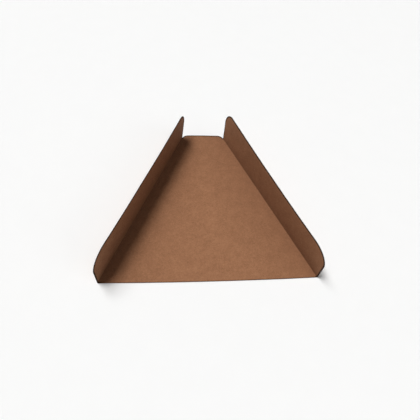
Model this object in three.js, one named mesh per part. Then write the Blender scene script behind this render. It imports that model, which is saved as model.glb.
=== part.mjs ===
// A pizza slice tray: one die-cut blank of brown kraft board, folded up along two creases.
// X runs across the tray, Y from the wide open front to the narrow rear, Z up.
// The origin is the middle of the base's underside. All sizes are in millimetres.
import * as THREE from "three";
import { mergeVertices } from "three/addons/utils/BufferGeometryUtils.js";

// The board and its creases
const boardThickness = 0.45;
const creaseInnerRadius = 0.6; // of the bend on the food side
const bendSteps = 8; // flat facets round each bend

// The base, a triangle with its point cut off
const frontWidth = 225; // between the creases at the open front
const rearWidth = 54.5; // between the creases at their rear ends
const baseDepth = 196; // from front to rear, along Y
const frontBow = 1.3; // how far the middle of the front edge stands forward of its ends
const rearLip = 4.9; // how far the base runs on past the rear ends of the creases
const rearLipRadius = 9; // of the lip's two corners
const cornerRadius = 3; // where the front edge turns into a wall's front end
const cornerReach = 0.9; // share of the half width at which the front edge heads for its corner

// The walls, the same on both sides and mirrored
const wallHeight = 38; // from the crease to the top edge, along the board
const rearOverhang = 11; // how far a wall's rear top corner reaches back past its crease
const rearTopRadius = 12;
const frontEndRise = 19.5; // the straight part of a wall's front end, above the crease
const frontEndSetback = 2; // how far the top of that straight part is set back from the corner
const frontTopLength = 25.5; // along the wall, of the long round from its front end to its top
const leftWallLean = 1; // degrees outwards from upright
const rightWallLean = 6;

// Straight segments in each curve of the outline
const bowSegments = 12; // in half of the front edge
const lipSegments = 8;
const cornerSegments = 4;
const rearTopSegments = 10;
const frontTopSegments = 16;

const kraftBoard = new THREE.MeshStandardMaterial({ color: 0x9b6b4d, roughness: 0.85, metalness: 0 });

// One crease, seen from above on the flat blank: its two ends, its length, the way it runs and the
// way its wall lies.
function makeCrease(side, lean) {
  const rear = new THREE.Vector2((side * rearWidth) / 2, baseDepth / 2);
  const front = new THREE.Vector2((side * frontWidth) / 2, -baseDepth / 2);
  const along = front.clone().sub(rear).normalize();
  const outward = new THREE.Vector2(-side * along.y, side * along.x);
  const foldAngle = THREE.MathUtils.degToRad(90 - lean);
  const bendLength = (creaseInnerRadius + boardThickness / 2) * foldAngle;
  return { rear, front, along, outward, foldAngle, bendLength, length: front.distanceTo(rear) };
}

const creases = [makeCrease(-1, leftWallLean), makeCrease(1, rightWallLean)];

// The arc that rounds the corner at b between the straight lines a-b and b-c.
function roundedCorner(a, b, c, radius, segments) {
  const toA = a.clone().sub(b).normalize();
  const toC = c.clone().sub(b).normalize();
  const halfAngle = Math.acos(toA.dot(toC)) / 2;
  const start = b.clone().addScaledVector(toA, radius / Math.tan(halfAngle));
  const centre = b.clone().addScaledVector(toA.clone().add(toC).normalize(), radius / Math.sin(halfAngle));
  const turn = (Math.PI - 2 * halfAngle) * Math.sign(toC.cross(toA));
  return Array.from({ length: segments + 1 }, (_, i) =>
    start.clone().rotateAround(centre, (turn * i) / segments),
  );
}

// The right wall's edge on the flat blank, from the front corner round to the rear end of its crease.
function wallEdge(crease) {
  const place = (along, height) =>
    crease.rear.clone().addScaledVector(crease.along, along).addScaledVector(crease.outward, height);
  const knee = place(crease.length - frontEndSetback, frontEndRise);
  const topFront = crease.length - frontEndSetback - frontTopLength;
  const topRear = place(-rearOverhang, wallHeight);
  const frontRound = Array.from({ length: frontTopSegments + 1 }, (_, i) => {
    const angle = ((Math.PI / 2) * i) / frontTopSegments;
    return place(
      topFront + frontTopLength * Math.cos(angle),
      frontEndRise + (wallHeight - frontEndRise) * Math.sin(angle),
    );
  });
  return {
    knee,
    points: [
      ...frontRound,
      ...roundedCorner(frontRound.at(-1), topRear, crease.rear, rearTopRadius, rearTopSegments),
      crease.rear.clone(),
    ],
  };
}

// The blank's outline, anticlockwise: half the front edge, the right wall and half the rear lip,
// then the same mirrored.
function blankOutline() {
  const crease = creases[1];
  const bowRadius = (frontWidth * frontWidth) / (8 * frontBow) + frontBow / 2;
  const bowCentre = new THREE.Vector2(0, crease.front.y - frontBow + bowRadius);
  const bowPoint = (x) =>
    new THREE.Vector2(x, bowCentre.y - Math.sqrt(bowRadius * bowRadius - x * x));
  const wall = wallEdge(crease);
  const aim = bowPoint(cornerReach * crease.front.x);
  const corner = roundedCorner(aim, crease.front, wall.knee, cornerRadius, cornerSegments);
  const bow = Array.from({ length: bowSegments }, (_, i) => bowPoint((corner[0].x * i) / bowSegments));

  const lipY = crease.rear.y + rearLip;
  const lipReach = Math.sqrt(2 * rearLipRadius * rearLip - rearLip * rearLip);
  const lipCentre = new THREE.Vector2(crease.rear.x - lipReach, lipY - rearLipRadius);
  const lipSweep = Math.atan2(lipReach, rearLipRadius - rearLip);
  const lip = Array.from({ length: lipSegments }, (_, i) => {
    const angle = Math.PI / 2 - lipSweep * (1 - (i + 1) / lipSegments);
    return new THREE.Vector2(rearLipRadius, 0).rotateAround(new THREE.Vector2(), angle).add(lipCentre);
  });

  const rightHalf = [...bow, ...corner, ...wall.points, ...lip];
  const leftHalf = rightHalf
    .slice(1)
    .reverse()
    .map((point) => new THREE.Vector2(-point.x, point.y));
  return [...rightHalf, ...leftHalf];
}

// How far a point of the blank lies beyond a crease, on the wall's side.
const beyond = (point, crease) => point.clone().sub(crease.rear).dot(crease.outward);

// The part of a polygon that lies on one side of a line beside a crease: beyond the distance
// where side is 1, and short of it where side is -1.
function cutBlank(polygon, crease, distance, side) {
  const kept = [];
  polygon.forEach((point, i) => {
    const next = polygon[(i + 1) % polygon.length];
    const here = side * (beyond(point, crease) - distance);
    const there = side * (beyond(next, crease) - distance);
    if (here >= 0) kept.push(point);
    if (here * there < 0) kept.push(point.clone().lerp(next, here / (here - there)));
  });
  return kept;
}

// The blank as flat zones that share their borders: the base, the strips of each bend, each wall.
function blankZones() {
  const outline = blankOutline();
  const zones = [];
  let base = outline;
  for (const crease of creases) {
    const border = (step) => crease.bendLength * (step / bendSteps - 0.5);
    base = cutBlank(base, crease, border(0), -1);
    for (let step = 0; step < bendSteps; step++) {
      const outer = cutBlank(outline, crease, border(step), 1);
      zones.push(cutBlank(outer, crease, border(step + 1), -1));
    }
    zones.push(cutBlank(outline, crease, border(bendSteps), 1));
  }
  return [base, ...zones];
}

// Where a point of the blank goes when the tray is folded, at a height inside the board.
function fold(point, height) {
  const crease = creases.find((candidate) => beyond(point, candidate) > -candidate.bendLength / 2);
  if (!crease) return new THREE.Vector3(point.x, point.y, height);
  const { outward, foldAngle, bendLength } = crease;
  const past = beyond(point, crease) + bendLength / 2; // from where the bend starts
  const angle = foldAngle * Math.min(past / bendLength, 1);
  const straight = Math.max(past - bendLength, 0);
  const centreHeight = creaseInnerRadius + boardThickness;
  const radius = centreHeight - height;
  const across = radius * Math.sin(angle) + straight * Math.cos(foldAngle);
  const rise = centreHeight - radius * Math.cos(angle) + straight * Math.sin(foldAngle);
  const foot = point.clone().addScaledVector(outward, -past);
  return new THREE.Vector3(foot.x + outward.x * across, foot.y + outward.y * across, rise);
}

// All zones as one flat triangle mesh, joined where they share a border.
function flatSheet() {
  const corners = [];
  for (const zone of blankZones()) {
    for (const triangle of THREE.ShapeUtils.triangulateShape(zone, [])) {
      for (const index of triangle) corners.push(zone[index].x, zone[index].y, 0);
    }
  }
  const sheet = new THREE.BufferGeometry();
  sheet.setAttribute("position", new THREE.Float32BufferAttribute(corners, 3));
  return mergeVertices(sheet, 1e-3);
}

// The folded board: its food side, its underside, and its cut edge all round.
function foldedBoard() {
  const sheet = flatSheet();
  const flat = sheet.getAttribute("position");
  const triangles = sheet.index.array;
  const count = flat.count;
  const positions = [];
  for (const height of [0, boardThickness]) {
    for (let i = 0; i < count; i++) {
      const folded = fold(new THREE.Vector2(flat.getX(i), flat.getY(i)), height);
      positions.push(folded.x, folded.y, folded.z);
    }
  }

  const indices = [];
  const edges = new Map(); // each edge of the sheet that no neighbour has shared yet
  for (let i = 0; i < triangles.length; i += 3) {
    const [a, b, c] = triangles.slice(i, i + 3);
    indices.push(a, c, b, a + count, b + count, c + count);
    for (const [from, to] of [[a, b], [b, c], [c, a]]) {
      if (!edges.delete(`${to} ${from}`)) edges.set(`${from} ${to}`, [from, to]);
    }
  }
  for (const [from, to] of edges.values()) {
    indices.push(from, to, to + count, from, to + count, from + count);
  }

  const board = new THREE.BufferGeometry();
  board.setAttribute("position", new THREE.Float32BufferAttribute(positions, 3));
  board.setIndex(indices);
  board.computeVertexNormals();
  return board;
}

const pizzaSliceTray = new THREE.Group();
const tray = new THREE.Mesh(foldedBoard(), kraftBoard);
tray.name = "folded_tray";
pizzaSliceTray.add(tray);

export default pizzaSliceTray;
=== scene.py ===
import math
from collections import namedtuple

import bpy
from mathutils import Matrix, Vector, geometry, noise


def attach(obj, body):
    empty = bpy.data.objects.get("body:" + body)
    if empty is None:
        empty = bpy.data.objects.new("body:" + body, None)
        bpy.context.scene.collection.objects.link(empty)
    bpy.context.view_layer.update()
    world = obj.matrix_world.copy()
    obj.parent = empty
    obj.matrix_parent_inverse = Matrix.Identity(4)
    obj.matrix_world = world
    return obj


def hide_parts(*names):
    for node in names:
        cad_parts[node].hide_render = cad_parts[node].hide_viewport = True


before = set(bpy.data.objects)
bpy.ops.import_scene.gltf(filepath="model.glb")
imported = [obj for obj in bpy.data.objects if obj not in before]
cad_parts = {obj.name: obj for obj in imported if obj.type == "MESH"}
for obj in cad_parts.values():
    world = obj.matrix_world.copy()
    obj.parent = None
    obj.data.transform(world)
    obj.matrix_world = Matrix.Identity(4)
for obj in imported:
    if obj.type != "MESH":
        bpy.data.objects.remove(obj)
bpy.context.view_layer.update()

# A pizza slice tray: one die-cut blank of brown kraft board, folded up along two creases.
# The blank is drawn flat, in millimetres, then every point of it is folded into place.
MM = 0.001

# The board
THICKNESS = 0.45
CREASE_INNER_RADIUS = 0.6
BEAD_HEIGHT = 0.1  # of the ridge that a pressed crease leaves on the food side
GROOVE_DEPTH = 0.05  # of the groove on the underside

# The base, a triangle with its point cut off
FRONT_WIDTH = 225
REAR_WIDTH = 54.5
BASE_DEPTH = 196
FRONT_BOW = 1.3
REAR_LIP = 4.9
REAR_LIP_RADIUS = 9
FRONT_CORNER_RADIUS = 3
FRONT_CORNER_REACH = 0.9  # share of the half width at which the bow is aimed at the corner

# The walls
WALL_HEIGHT = 38
REAR_OVERHANG = 11
REAR_TOP_RADIUS = 12
FRONT_END_RISE = 19.5
FRONT_END_SETBACK = 2
FRONT_TOP_LENGTH = 25.5

# How each wall stands: degrees outwards from upright at the rear and at the front end of its
# crease, and how far the middle of its top bellies inwards
Stance = namedtuple("Stance", "rear_lean front_lean belly")
LEFT_STANCE = Stance(0.5, 0.4, 1.3)
RIGHT_STANCE = Stance(9.9, 1.0, 1.4)
FOLD_LEAN = {-1: 1, 1: 6}  # the mean lean that sets the length of each bend
LEAN_RUN_ON = 0.06  # share of a crease past its rear end over which its wall's lean still changes

# The board's own waves: slow ones, and quicker ones that add a share of their height
WARP_HEIGHT = 0.3
WARP_LENGTH = 75
QUICK_WARP_LENGTH = WARP_LENGTH / 3
QUICK_WARP_SHARE = 0.25
QUICK_WARP_LAYER = 40  # where the quicker waves are cut from the noise
BASE_WARP_SHARE = 0.5  # the base lies flatter than the walls stand
BASE_WARP_START = 25  # how far from a crease the base's waves reach their height
WALL_WARP_START = 12  # how far up a wall its waves reach their height

# The fine unevenness of the cut edge
EDGE_FUZZ = 0.03
EDGE_FUZZ_LENGTH = 0.7
EDGE_FUZZ_LAYERS = 9  # how much faster it changes through the board than along the edge

# Mesh spacings
EDGE_STEP = 0.9  # along the cut edge
FACE_STEP = 3.2  # over the faces
BEND_STEPS = 8
CREASE_LINES = 2  # lines of points on each side of a bend
CREASE_RUN_ON = 8  # added to a crease's length when its lines are divided
LINE_CLEARANCE = 0.8  # least gap between a crease's lines and the rings inside the cut edge
CREASE_CLEARANCE = 2.0  # least gap between the points of the faces and a crease
FACE_CLEARANCE = 1.6  # least gap between the points of the faces and the rings
FRONT_ROUND_STEPS = 40
REAR_ROUND_STEPS = 18
FRONT_CORNER_STEPS = 8
LIP_STEPS = 12
EDGE_ROUND = 0.1  # radius of the cut edge's two corners
EDGE_ROUND_STEPS = 3
EDGE_INSETS = (1.9, 1.2, 0.6, 0.2)  # rings on each face that follow the cut edge
MITRE_LIMIT = 0.5  # keeps the rings from running far out at a sharp corner
INSIDE_ONLY = 1  # the triangulation's output that leaves out what lies outside the outline
TOUCHING = 1e-5  # points closer than this are one

# The camera, as found from the outline and creases in the photograph
CAMERA_PLACE = Vector((-30.07, -208.89, 319.56)) * MM
CAMERA_RIGHT = Vector((0.99592, -0.05324, 0.07289))
CAMERA_UP = Vector((0.00745, 0.85324, 0.52147))
SENSOR_WIDTH = 36
FOCAL_PIXELS = 324.9
FRAME_PIXELS = 420
CLIP_START = 0.01

# The light: broad soft lights from far off, and a pale surround. Elevation and azimuth are in
# degrees, azimuth anticlockwise from +X, and breadth is the angle that a light fills.
SoftLight = namedtuple("SoftLight", "name elevation azimuth breadth strength")
SOFT_LIGHTS = (
    SoftLight("left_key", 67, 152, 20, 2.02),
    SoftLight("rear_key", 51, 126, 20, 1.04),
    SoftLight("front_fill", 55, 300, 30, 0.2),
    SoftLight("right_fill", 28, 330, 30, 0.27),
)
SKY_STRENGTH = 0.09
HORIZON_STRENGTH = 0.95
HORIZON_TOP = 0.16  # height of the pale band above the horizon, as a share of straight up
FLOOR_SIZE = 60

# The board's colours
BOARD_TONES = (
    (0.35, (0.2135, 0.093, 0.0425, 1)),
    (0.5, (0.2915, 0.1305, 0.061, 1)),
    (0.65, (0.379, 0.1765, 0.0885, 1)),
)
PALE_FIBRE = (0.50, 0.275, 0.160, 1)
DARK_FIBRE = (0.15, 0.058, 0.028, 1)
BARK_FLECK = (0.085, 0.035, 0.018, 1)
WOOD_CHIP = (0.52, 0.31, 0.19, 1)
# The brown of the painted shade towards the creases and along each fold
FOLD_SHADE_BROWN = (0.125, 0.050, 0.022, 1)
EDGE_DARK = (0.010, 0.005, 0.003, 1)
EDGE_BROWN = (0.030, 0.013, 0.008, 1)
FLOOR_SHADE = (0.915, 0.915, 0.91, 1)
FLOOR_PALE = (0.935, 0.935, 0.93, 1)

# How much of each colour shows where it lies
PALE_FIBRE_SHARE = 0.2
DARK_FIBRE_SHARE = 0.2
BARK_FLECK_SHARE = 0.55
WOOD_CHIP_SHARE = 0.3
# Painted shade towards the creases: beside each fold, and slowly over the board
NEAR_FOLD_SHADE_SHARE = 0.12
WIDE_FOLD_SHADE_SHARE = 0.26
# The painted shade line along each fold
FOLD_SHADE_LINE_SHARE = 0.5
EDGE_LINE_SHARE = 0.9
FRONT_LINE_LOSS = 0.35  # how much fainter the line is along the front edge

# The pulp's unevenness, from coarse to fine: how many swells to the millimetre, how many finer
# ones are added, and how strongly
Pulp = namedtuple("Pulp", "scale detail roughness")
CLOUDS = Pulp(0.1, 2, 0.5)
MOTTLE = Pulp(0.36, 3, 0.7)
SPECKLE = Pulp(0.8, 3, 0.65)
GRAIN = Pulp(5.5, 3, 0.6)
FLOOR_SPECKLE = Pulp(40, 4, 0.6)  # to the metre
PLIES_THROUGH = 14  # how finely the plies show at the cut edge, through the board
PLIES_ALONG = 0.5
PLY_CONTRAST = (0.4, 0.62)
THROUGH_BOARD = 20  # how much faster the pulp changes through the board than over it
STRAND_BEND = 0.9
FLECK_STRETCH = 2.2
FLECK_CORE = 0.55  # share of a fleck's size that has its full colour
FLECK_CHANCE_BLUR = 0.02

# The board's matt surface
BOARD_SPECULAR = 0.3
BOARD_ROUGHNESS = 0.8
RELIEF_STRENGTH = 0.6
RELIEF_HEIGHT = 0.00004
FLOOR_SPECULAR = 0.2
FLOOR_ROUGHNESS = 0.75

# The fibres, in layers: the way that they run in degrees, their length and width in millimetres,
# where the layer is cut from the noise, and how much of each strand shows
FibreLayer = namedtuple("FibreLayer", "turn length width shift breadth")
PALE_LAYERS = (
    FibreLayer(12, 3.2, 0.28, 3, 0.035),
    FibreLayer(-34, 2.6, 0.26, 17, 0.03),
    FibreLayer(71, 2.8, 0.3, 31, 0.03),
)
DARK_LAYERS = (
    FibreLayer(-8, 2.4, 0.24, 47, 0.02),
    FibreLayer(48, 2.0, 0.22, 59, 0.018),
)

# The flecks: how many places to the millimetre, the way that they are drawn out in degrees, the
# share of places that has none, and their size as a share of their spacing
FleckLayer = namedtuple("FleckLayer", "scale turn rarity size")
COARSE_BARK = FleckLayer(0.35, 20, 0.72, 0.13)
FINE_BARK = FleckLayer(0.9, -15, 0.8, 0.16)
CHIPS = FleckLayer(0.5, 60, 0.75, 0.15)

# How the finish changes near the cut edge, and where the painted shade lies near the creases, in
# millimetres
FOLD_MIDDLE = 0.5  # the middle of the bend, past the crease
# how far the painted shade beside a fold reaches
FOLD_SHADE_REACH = 14
WIDE_FOLD_SHADE_REACH = 75  # of the slow painted shade from the middle of the board to its creases
FOLD_SHADE_LINE = (0.6, 1.9)  # where the painted shade line along a fold starts to fade and where it ends
EDGE_LINE = (1.0, 1.9)  # the same for the darker line along the cut edge
FRONT_LINE = (-BASE_DEPTH / 2 + 1, -BASE_DEPTH / 2 + 10)  # the front edge, whose line is finer
FRONT_LINE_SIDE = -4.0  # how far short of a crease the front edge's finer line starts to end


def set_up_camera():
    """The photograph's viewpoint."""
    data = bpy.data.cameras.new("camera")
    data.sensor_width = SENSOR_WIDTH
    data.lens = FOCAL_PIXELS / FRAME_PIXELS * SENSOR_WIDTH
    data.clip_start = CLIP_START
    camera = bpy.data.objects.new("camera", data)
    back = CAMERA_RIGHT.cross(CAMERA_UP).normalized()
    turn = Matrix((CAMERA_RIGHT, CAMERA_UP, back)).transposed().to_4x4()
    camera.matrix_world = Matrix.Translation(CAMERA_PLACE) @ turn
    bpy.context.scene.collection.objects.link(camera)
    bpy.context.scene.camera = camera


class Crease:
    """One crease on the flat blank, with the wall beyond it."""

    def __init__(self, side, stance):
        self.stance = stance
        self.rear = Vector((side * REAR_WIDTH / 2, BASE_DEPTH / 2))
        self.front = Vector((side * FRONT_WIDTH / 2, -BASE_DEPTH / 2))
        self.length = (self.front - self.rear).length
        self.along = (self.front - self.rear) / self.length
        self.outward = Vector((-side * self.along.y, side * self.along.x))
        fold_angle = math.radians(90 - FOLD_LEAN[side])
        self.bend_length = (CREASE_INNER_RADIUS + THICKNESS / 2) * fold_angle

    def beyond(self, point):
        """How far a point of the blank lies past the crease, on the wall's side."""
        return (point - self.rear).dot(self.outward)

    def share(self, point):
        """Where a point lies along the crease: 0 at its rear end, 1 at its front end."""
        share = (point - self.rear).dot(self.along) / self.length
        return min(max(share, -LEAN_RUN_ON), 1.0)

    def place(self, along, height):
        """A point of the wall on the flat blank."""
        return self.rear + self.along * along + self.outward * height


CREASES = (Crease(-1, LEFT_STANCE), Crease(1, RIGHT_STANCE))


def rounded_corner(before, corner, after, radius, steps):
    """The arc that rounds a corner between two straight lines."""
    to_before = (before - corner).normalized()
    to_after = (after - corner).normalized()
    half_angle = math.acos(to_before.dot(to_after)) / 2
    start = corner + to_before * (radius / math.tan(half_angle))
    centre = corner + (to_before + to_after).normalized() * (radius / math.sin(half_angle))
    turn = math.pi - 2 * half_angle
    if to_after.x * to_before.y - to_after.y * to_before.x < 0:
        turn = -turn
    spoke = start - centre
    return [centre + turned(spoke, turn * step / steps) for step in range(steps + 1)]


def turned(vector, angle):
    """A flat vector turned anticlockwise."""
    cos, sin = math.cos(angle), math.sin(angle)
    return Vector((vector.x * cos - vector.y * sin, vector.x * sin + vector.y * cos))


def wall_outline(crease):
    """The right wall's edge, from its knee at the front round to the rear end of its crease."""
    top_front = crease.length - FRONT_END_SETBACK - FRONT_TOP_LENGTH
    front_round = []
    for step in range(FRONT_ROUND_STEPS + 1):
        angle = math.pi / 2 * step / FRONT_ROUND_STEPS
        along = top_front + FRONT_TOP_LENGTH * math.cos(angle)
        height = FRONT_END_RISE + (WALL_HEIGHT - FRONT_END_RISE) * math.sin(angle)
        front_round.append(crease.place(along, height))
    top_rear = crease.place(-REAR_OVERHANG, WALL_HEIGHT)
    rear_round = rounded_corner(
        front_round[-1], top_rear, crease.rear, REAR_TOP_RADIUS, REAR_ROUND_STEPS)
    return front_round + rear_round + [crease.rear.copy()]


def half_outline():
    """The right half of the blank's edge, anticlockwise from the middle of the front edge."""
    crease = CREASES[1]
    bow_radius = FRONT_WIDTH ** 2 / (8 * FRONT_BOW) + FRONT_BOW / 2
    bow_centre_y = crease.front.y - FRONT_BOW + bow_radius

    def bow_point(x):
        return Vector((x, bow_centre_y - math.sqrt(bow_radius ** 2 - x ** 2)))

    wall = wall_outline(crease)
    aim = bow_point(FRONT_CORNER_REACH * crease.front.x)
    corner = rounded_corner(
        aim, crease.front, wall[0], FRONT_CORNER_RADIUS, FRONT_CORNER_STEPS)
    bow_steps = round(corner[0].x / EDGE_STEP)
    bow = [bow_point(corner[0].x * step / bow_steps) for step in range(bow_steps)]

    lip_reach = math.sqrt(2 * REAR_LIP_RADIUS * REAR_LIP - REAR_LIP ** 2)
    lip_centre = Vector((crease.rear.x - lip_reach, crease.rear.y + REAR_LIP - REAR_LIP_RADIUS))
    lip_sweep = math.atan2(lip_reach, REAR_LIP_RADIUS - REAR_LIP)
    lip = []
    for step in range(1, LIP_STEPS + 1):
        angle = math.pi / 2 - lip_sweep * (1 - step / LIP_STEPS)
        lip.append(lip_centre + REAR_LIP_RADIUS * Vector((math.cos(angle), math.sin(angle))))
    middle_rear = Vector((0, crease.rear.y + REAR_LIP))
    return bow + corner + wall + lip + [middle_rear]


def even_steps(points, step):
    """A line of points with its long gaps divided into steps of about the same length."""
    spaced = []
    for here, there in zip(points, points[1:]):
        parts = max(1, round((there - here).length / step))
        spaced += [here.lerp(there, part / parts) for part in range(parts)]
    return spaced + [points[-1]]


def blank_outline():
    """The whole edge of the flat blank, anticlockwise."""
    right = even_steps(half_outline(), EDGE_STEP)
    left = [Vector((-point.x, point.y)) for point in reversed(right[1:-1])]
    return right + left


def edge_normals(outline):
    """For each point of the outline, the way out of the board, long enough for a mitred offset."""
    normals = []
    for before, here, after in zip(outline[-1:] + outline[:-1], outline, outline[1:] + outline[:1]):
        first = (here - before).normalized()
        second = (after - here).normalized()
        outs = Vector((first.y, -first.x)), Vector((second.y, -second.x))
        middle = (outs[0] + outs[1]).normalized()
        normals.append(middle / max(middle.dot(outs[0]), MITRE_LIMIT))
    return normals


def board_waves(point):
    """How far the sheet stands off its flat shape: slow waves left by its making and storing."""
    slow = noise.noise(Vector((point.x, point.y, 0)) / WARP_LENGTH)
    quick = noise.noise(Vector((point.x, point.y, QUICK_WARP_LAYER)) / QUICK_WARP_LENGTH)
    return WARP_HEIGHT * (slow + QUICK_WARP_SHARE * quick)


def fold(point, height):
    """Where a point of the blank stands on the folded tray, at a height inside the board."""
    crease = next((c for c in CREASES if c.beyond(point) > -c.bend_length / 2), None)
    if crease is None:
        short_of_crease = min(-candidate.beyond(point) for candidate in CREASES)
        settle = min(short_of_crease / BASE_WARP_START, 1)  # the creases hold the base flat
        lift = BASE_WARP_SHARE * (board_waves(point) + WARP_HEIGHT) * settle * settle
        return Vector((point.x, point.y, height + lift))

    stance = crease.stance
    share = crease.share(point)
    lean = stance.rear_lean + (stance.front_lean - stance.rear_lean) * share
    fold_angle = math.radians(90 - lean)
    past = crease.beyond(point) + crease.bend_length / 2
    bend_share = min(past / crease.bend_length, 1)
    angle = fold_angle * bend_share
    straight = max(past - crease.bend_length, 0)

    inside = height / THICKNESS
    swell = math.sin(math.pi * bend_share) ** 2 if straight == 0 else 0
    height += swell * (BEAD_HEIGHT * inside + GROOVE_DEPTH * (1 - inside))

    middle_radius = crease.bend_length / fold_angle
    radius = middle_radius + THICKNESS / 2 - height
    belly = stance.belly * 4 * share * (1 - share) if 0 < share < 1 else 0
    up_wall = straight / WALL_HEIGHT
    outwards = -belly * up_wall + board_waves(point) * min(straight / WALL_WARP_START, 1)
    across = radius * math.sin(angle) + straight * math.cos(fold_angle)
    across += outwards * math.sin(fold_angle)
    rise = middle_radius + THICKNESS / 2 - radius * math.cos(angle)
    rise += straight * math.sin(fold_angle) - outwards * math.cos(fold_angle)
    foot = point - crease.outward * past
    return Vector((*(foot + crease.outward * across), rise))


def is_inside(point, polygon):
    """Whether a point lies inside an outline."""
    inside = False
    for here, there in zip(polygon, polygon[1:] + polygon[:1]):
        if (here.y > point.y) != (there.y > point.y):
            crossing = here.x + (there.x - here.x) * (point.y - here.y) / (there.y - here.y)
            if point.x < crossing:
                inside = not inside
    return inside


def distance_to_line(point, polygon):
    """The distance from a point to the nearest corner of a finely divided outline."""
    return min((point - corner).length for corner in polygon)


def crease_lines(crease, outline):
    """The lines of points that follow a crease, close together across the bend."""
    lines = []
    for step in range(-CREASE_LINES, BEND_STEPS + 1 + CREASE_LINES):
        height = crease.bend_length * (step / BEND_STEPS - 0.5)
        count = round((crease.length + CREASE_RUN_ON) / FACE_STEP)
        line = []
        for part in range(-2, count + 1):
            point = crease.place(crease.length * part / count, height)
            if is_inside(point, outline) and distance_to_line(point, outline) > LINE_CLEARANCE:
                line.append(point)
        lines.append(line)
    return lines


def face_points(outline):
    """An even spread of points over the base and the walls, clear of the creases and the edge."""
    points = []
    row_height = FACE_STEP * math.sqrt(3) / 2
    reach = FRONT_WIDTH / 2 + WALL_HEIGHT + REAR_OVERHANG
    rows = math.ceil(2 * reach / row_height)
    columns = math.ceil(2 * reach / FACE_STEP)
    for row in range(rows):
        for column in range(columns):
            point = Vector((
                -reach + (column + 0.5 * (row % 2)) * FACE_STEP,
                -reach + row * row_height,
            ))
            if not is_inside(point, outline):
                continue
            clear = min(abs(crease.beyond(point)) for crease in CREASES)
            if clear > CREASE_CLEARANCE and distance_to_line(point, outline) > FACE_CLEARANCE:
                points.append(point)
    return points


def flat_sheet(outline):
    """Triangles over the flat blank inside an outline, with lines of points along both creases."""
    points = list(outline)
    count = len(outline)
    edges = [(i, (i + 1) % count) for i in range(count)]
    for crease in CREASES:
        for line in crease_lines(crease, outline):
            start = len(points)
            points += line
            edges += [(start + i, start + i + 1) for i in range(len(line) - 1)]
    points += face_points(outline)
    found, _, triangles, origins, _, _ = geometry.delaunay_2d_cdt(
        points, edges, [], INSIDE_ONLY, TOUCHING)
    return found, triangles, origins


def edge_profile():
    """The board's section at its cut edge, from the food side round to the underside: pairs of
    how far in from the edge, and the height."""
    top = [(inset, THICKNESS) for inset in EDGE_INSETS]
    for step in range(EDGE_ROUND_STEPS + 1):
        angle = math.pi / 2 * step / EDGE_ROUND_STEPS
        inset = EDGE_ROUND * (1 - math.sin(angle))
        height = THICKNESS - EDGE_ROUND * (1 - math.cos(angle))
        top.append((inset, height))
    bottom = [(inset, THICKNESS - height) for inset, height in reversed(top)]
    return top + bottom


def add_attribute(mesh, name, kind, field, numbers):
    """Numbers kept at each point of a mesh, for its finish to read."""
    mesh.attributes.new(name, kind, "POINT").data.foreach_set(field, numbers)


def make_tray_mesh():
    """The folded board. Its layers share the blank's coordinates, which the finish follows."""
    outline = blank_outline()
    normals = edge_normals(outline)
    profile = edge_profile()
    inner = [point - normal * EDGE_INSETS[0] for point, normal in zip(outline, normals)]
    sheet, triangles, origins = flat_sheet(inner)
    ring_of = {}
    for index, sources in enumerate(origins):
        for source in sources:
            if source < len(inner):
                ring_of[source] = index

    corners = []  # of the folded mesh: the place on the blank, height, and distance from the edge

    def add(point, height, inset):
        corners.append((point, height, inset))
        return len(corners) - 1

    depths = [distance_to_line(point, outline) for point in sheet]
    food_side = [add(point, THICKNESS, depth) for point, depth in zip(sheet, depths)]
    underside = [add(point, 0, depth) for point, depth in zip(sheet, depths)]
    faces = [tuple(food_side[i] for i in triangle) for triangle in triangles]
    faces += [tuple(underside[i] for i in reversed(triangle)) for triangle in triangles]

    rings = []
    for i, (point, normal) in enumerate(zip(outline, normals)):
        ring = [food_side[ring_of[i]]]
        for inset, height in profile[1:-1]:
            spot = Vector((point.x, point.y, EDGE_FUZZ_LAYERS * height))
            rough = noise.noise(spot / EDGE_FUZZ_LENGTH)
            wander = EDGE_FUZZ * rough if inset < EDGE_ROUND else 0
            ring.append(add(point - normal * (inset + wander), height, inset))
        ring.append(underside[ring_of[i]])
        rings.append(ring)
    for here, there in zip(rings, rings[1:] + rings[:1]):
        for a, b, c, d in zip(here, here[1:], there[1:], there):
            faces.append((a, b, c, d))

    mesh = bpy.data.meshes.new("folded_tray_board")
    mesh.from_pydata([fold(point, height) * MM for point, height, _ in corners], [], faces)
    places = [(point.x, point.y, height) for point, height, _ in corners]
    add_attribute(mesh, "blank_place", "FLOAT_VECTOR", "vector", [x for place in places for x in place])
    add_attribute(mesh, "edge_distance", "FLOAT", "value", [inset for _, _, inset in corners])
    past_crease = [max(crease.beyond(point) for crease in CREASES) for point, _, _ in corners]
    add_attribute(mesh, "crease_distance", "FLOAT", "value", past_crease)
    mesh.validate()
    mesh.update()
    mesh.shade_smooth()
    return mesh


class Number:
    """A socket that carries a number, so that shader maths is written as Python expressions."""

    def __init__(self, nodes, socket):
        self.nodes = nodes
        self.socket = socket

    def maths(self, operation, first, second):
        return self.nodes.node("ShaderNodeMath", {"operation": operation}, {0: first, 1: second})

    def __add__(self, other):
        return self.maths("ADD", self, other)

    __radd__ = __add__

    def __sub__(self, other):
        return self.maths("SUBTRACT", self, other)

    def __rsub__(self, other):
        return self.maths("SUBTRACT", other, self)

    def __mul__(self, other):
        return self.maths("MULTIPLY", self, other)

    __rmul__ = __mul__

    def magnitude(self):
        return self.nodes.node("ShaderNodeMath", {"operation": "ABSOLUTE"}, {0: self})

    def at_most(self, other):
        return self.maths("MINIMUM", self, other)

    def at_least(self, other):
        return self.maths("MAXIMUM", self, other)


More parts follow.
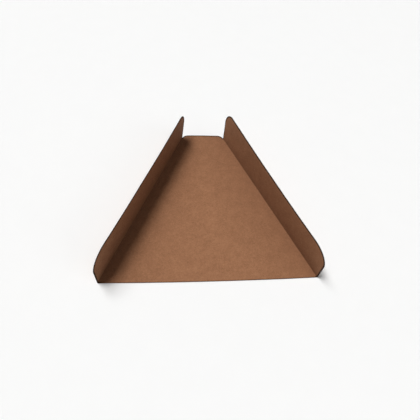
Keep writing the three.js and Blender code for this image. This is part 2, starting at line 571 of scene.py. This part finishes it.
class Nodes:
    """The nodes of a material or of the world."""

    def __init__(self, tree):
        self.tree = tree

    def node(self, kind, settings, inputs, output=0):
        """Adds a node, with its settings made first, and gives one of its outputs."""
        node = self.tree.nodes.new(kind)
        for name, value in settings.items():
            if name == "stops":
                self.set_stops(node.color_ramp, value)
            else:
                setattr(node, name, value)
        for name, value in inputs.items():
            self.feed(node.inputs[name], value)
        return Number(self, node.outputs[output])

    def feed(self, socket, value):
        if isinstance(value, Number):
            self.tree.links.new(value.socket, socket)
        else:
            socket.default_value = value

    @staticmethod
    def set_stops(ramp, stops):
        """Gives a ramp its colours: pairs of a place from 0 to 1 and a colour."""
        while len(ramp.elements) > 1:
            ramp.elements.remove(ramp.elements[-1])
        for index, (place, colour) in enumerate(stops):
            element = ramp.elements[0] if index == 0 else ramp.elements.new(place)
            element.position = place
            element.color = colour

    def attribute(self, name, output):
        return self.node("ShaderNodeAttribute", {"attribute_name": name}, {}, output)

    def noise(self, place, scale, detail, roughness=0.5, distortion=0.0):
        inputs = {"Vector": place, "Scale": scale, "Detail": detail, "Roughness": roughness,
                  "Distortion": distortion}
        return self.node("ShaderNodeTexNoise", {}, inputs)

    def between(self, value, low, high):
        """0 where a value is at or under low, 1 at or over high, and smooth between."""
        settings = {"interpolation_type": "SMOOTHSTEP"}
        return self.node("ShaderNodeMapRange", settings, {0: value, 1: low, 2: high, 3: 0.0, 4: 1.0})

    def stretched(self, place, turn, stretch):
        """Coordinates turned in the board's plane and drawn out along one direction."""
        inputs = {"Vector": place, "Rotation": (0, 0, math.radians(turn)), "Scale": stretch}
        return self.node("ShaderNodeMapping", {}, inputs)

    def blend(self, factor, first, second):
        """Two colours mixed: the first where the factor is 0, the second where it is 1."""
        settings = {"data_type": "RGBA"}
        return self.node("ShaderNodeMix", settings, {0: factor, 6: first, 7: second}, 2)


class Finish(Nodes):
    """A material's nodes."""

    def __init__(self, name):
        self.material = bpy.data.materials.new(name)
        self.material.use_nodes = True
        super().__init__(self.material.node_tree)
        self.shader = self.tree.nodes["Principled BSDF"]


def fibres(finish, place, layers):
    """Layers of thin strands, each running near one direction."""
    strands = []
    for layer in layers:
        shifted = finish.node("ShaderNodeVectorMath", {"operation": "ADD"},
                              {0: place, 1: (layer.shift, layer.shift / 2, 0)})
        drawn = finish.stretched(shifted, layer.turn, (1 / layer.length, 1 / layer.width, 1))
        off_ridge = (finish.noise(drawn, 1.0, 2, 0.5, STRAND_BEND) - 0.5).magnitude()
        strands.append(1 - finish.between(off_ridge, 0.0, layer.breadth))
    return sum(strands).at_most(1.0)


def flecks(finish, place, layer):
    """Sparse specks, drawn out a little along the sheet."""
    drawn = finish.stretched(place, layer.turn, (1, FLECK_STRETCH, 1))
    cells = {"Vector": drawn, "Scale": layer.scale, "Randomness": 1.0}
    distance = finish.node("ShaderNodeTexVoronoi", {}, cells, "Distance")
    chance = finish.node("ShaderNodeTexVoronoi", {}, cells, "Color")
    lot = finish.node("ShaderNodeSeparateColor", {}, {0: chance})
    chosen = finish.between(lot, layer.rarity, layer.rarity + FLECK_CHANCE_BLUR)
    return chosen * (1 - finish.between(distance, layer.size * FLECK_CORE, layer.size))


def kraft_board():
    """Unbleached kraft board: cloudy pulp, long pale and dark fibres, bark flecks, a darker cut edge,
    and painted shade towards the creases and along the folds."""
    finish = Finish("kraft_board_finish")
    place = finish.attribute("blank_place", "Vector")
    layered = finish.stretched(place, 0, (1, 1, THROUGH_BOARD))
    edge = finish.attribute("edge_distance", "Fac")
    crease = finish.attribute("crease_distance", "Fac")

    clouds = finish.noise(layered, *CLOUDS)
    mottle = finish.noise(layered, *MOTTLE)
    speckle = finish.noise(layered, *SPECKLE)
    grain = finish.noise(layered, *GRAIN)

    pale_fibres = fibres(finish, layered, PALE_LAYERS)
    dark_fibres = fibres(finish, layered, DARK_LAYERS)
    bark = flecks(finish, layered, COARSE_BARK).at_least(flecks(finish, layered, FINE_BARK))
    chips = flecks(finish, layered, CHIPS)

    tone = 0.2 * clouds + 0.3 * mottle + 0.35 * speckle + 0.15 * grain
    colour = finish.node("ShaderNodeValToRGB", {"stops": BOARD_TONES}, {0: tone})
    colour = finish.blend(PALE_FIBRE_SHARE * pale_fibres, colour, PALE_FIBRE)
    colour = finish.blend(DARK_FIBRE_SHARE * dark_fibres, colour, DARK_FIBRE)
    colour = finish.blend(BARK_FLECK_SHARE * bark, colour, BARK_FLECK)
    colour = finish.blend(WOOD_CHIP_SHARE * chips, colour, WOOD_CHIP)

    # Painted shade towards the creases: slowly over the board, more beside the fold, and a painted
    # shade line along it
    off_crease = (crease - FOLD_MIDDLE).magnitude()
    near_fold_shade = 1 - finish.between(off_crease, 0.0, FOLD_SHADE_REACH)
    wide_fold_shade = 1 - finish.between(off_crease, 0.0, WIDE_FOLD_SHADE_REACH)
    painted_fold_shade = NEAR_FOLD_SHADE_SHARE * near_fold_shade + WIDE_FOLD_SHADE_SHARE * wide_fold_shade
    colour = finish.blend(painted_fold_shade, colour, FOLD_SHADE_BROWN)
    # A painted shade line along each fold
    fold_shade_line = 1 - finish.between(off_crease + 0.6 * speckle, *FOLD_SHADE_LINE)
    colour = finish.blend(FOLD_SHADE_LINE_SHARE * fold_shade_line, colour, FOLD_SHADE_BROWN)

    # The open, darker ends of the fibres at the cut edge, which is cleanest along the front
    to_rear = finish.node("ShaderNodeSeparateXYZ", {}, {0: place}, "Y")
    forward = 1 - finish.between(to_rear, *FRONT_LINE)
    front_edge = forward * (1 - finish.between(crease, FRONT_LINE_SIDE, 0.0))
    edge_reach = edge * (0.85 + 1.2 * front_edge)
    edge_line = 1 - finish.between(edge_reach + 0.3 * grain, *EDGE_LINE)
    edge_shade = edge_line * (1 - FRONT_LINE_LOSS * front_edge)
    ply_stretch = (PLIES_ALONG, PLIES_ALONG, PLIES_THROUGH)
    plies = finish.noise(finish.stretched(place, 0, ply_stretch), 1.0, 2)
    edge_colour = finish.blend(finish.between(plies, *PLY_CONTRAST), EDGE_DARK, EDGE_BROWN)
    colour = finish.blend(EDGE_LINE_SHARE * edge_shade, colour, edge_colour)
    finish.feed(finish.shader.inputs["Base Color"], colour)

    roughness = BOARD_ROUGHNESS + 0.12 * grain + 0.08 * mottle - 0.06 * pale_fibres + 0.15 * edge_shade
    finish.feed(finish.shader.inputs["Roughness"], roughness.at_most(1.0))
    finish.shader.inputs["Specular IOR Level"].default_value = BOARD_SPECULAR

    relief = 0.5 * grain + 0.35 * pale_fibres - 0.25 * dark_fibres + 0.7 * mottle + 0.4 * chips
    bump = finish.node(
        "ShaderNodeBump", {},
        {"Strength": RELIEF_STRENGTH, "Distance": RELIEF_HEIGHT, "Height": relief}, "Normal")
    finish.feed(finish.shader.inputs["Normal"], bump)
    return finish.material


def make_tray():
    """The folded board in its finish, in place of the plain solid."""
    mesh = make_tray_mesh()
    mesh.materials.append(kraft_board())
    tray = bpy.data.objects.new("kraft_tray", mesh)
    bpy.context.scene.collection.objects.link(tray)
    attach(tray, "root")
    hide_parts("folded_tray")


def make_floor():
    """A plain pale floor."""
    half = FLOOR_SIZE / 2
    corners = [(-half, -half, 0), (half, -half, 0), (half, half, 0), (-half, half, 0)]
    mesh = bpy.data.meshes.new("floor")
    mesh.from_pydata(corners, [], [(0, 1, 2, 3)])
    finish = Finish("pale_floor")
    place = finish.node("ShaderNodeTexCoord", {}, {}, "Object")
    speckle = finish.noise(place, *FLOOR_SPECKLE)
    colour = finish.blend(speckle, FLOOR_SHADE, FLOOR_PALE)
    finish.feed(finish.shader.inputs["Base Color"], colour)
    finish.feed(finish.shader.inputs["Roughness"], FLOOR_ROUGHNESS + 0.15 * speckle)
    finish.shader.inputs["Specular IOR Level"].default_value = FLOOR_SPECULAR
    mesh.materials.append(finish.material)
    floor = bpy.data.objects.new("floor", mesh)
    bpy.context.scene.collection.objects.link(floor)


def set_up_light():
    """Soft studio light, mostly from high on the left and the rear left."""
    world = bpy.data.worlds.new("studio")
    world.use_nodes = True
    surround = Nodes(world.node_tree)
    direction = surround.node("ShaderNodeTexCoord", {}, {}, "Generated")
    up = surround.node("ShaderNodeSeparateXYZ", {}, {0: direction}, "Z")
    band = 1 - surround.between(up, 0.0, HORIZON_TOP)
    strength = SKY_STRENGTH + (HORIZON_STRENGTH - SKY_STRENGTH) * band
    background = world.node_tree.nodes["Background"]
    background.inputs["Color"].default_value = (1, 1, 1, 1)
    surround.feed(background.inputs["Strength"], strength)
    bpy.context.scene.world = world
    for soft in SOFT_LIGHTS:
        data = bpy.data.lights.new(soft.name, "SUN")
        data.angle = math.radians(soft.breadth)
        data.energy = soft.strength
        light = bpy.data.objects.new(soft.name, data)
        elevation, azimuth = math.radians(soft.elevation), math.radians(soft.azimuth)
        level = math.cos(elevation)
        towards = Vector((level * math.cos(azimuth), level * math.sin(azimuth), math.sin(elevation)))
        light.location = towards
        light.rotation_euler = towards.to_track_quat("Z", "Y").to_euler()
        bpy.context.scene.collection.objects.link(light)
    bpy.context.scene.view_settings.view_transform = "Standard"


set_up_camera()
make_tray()
make_floor()
set_up_light()
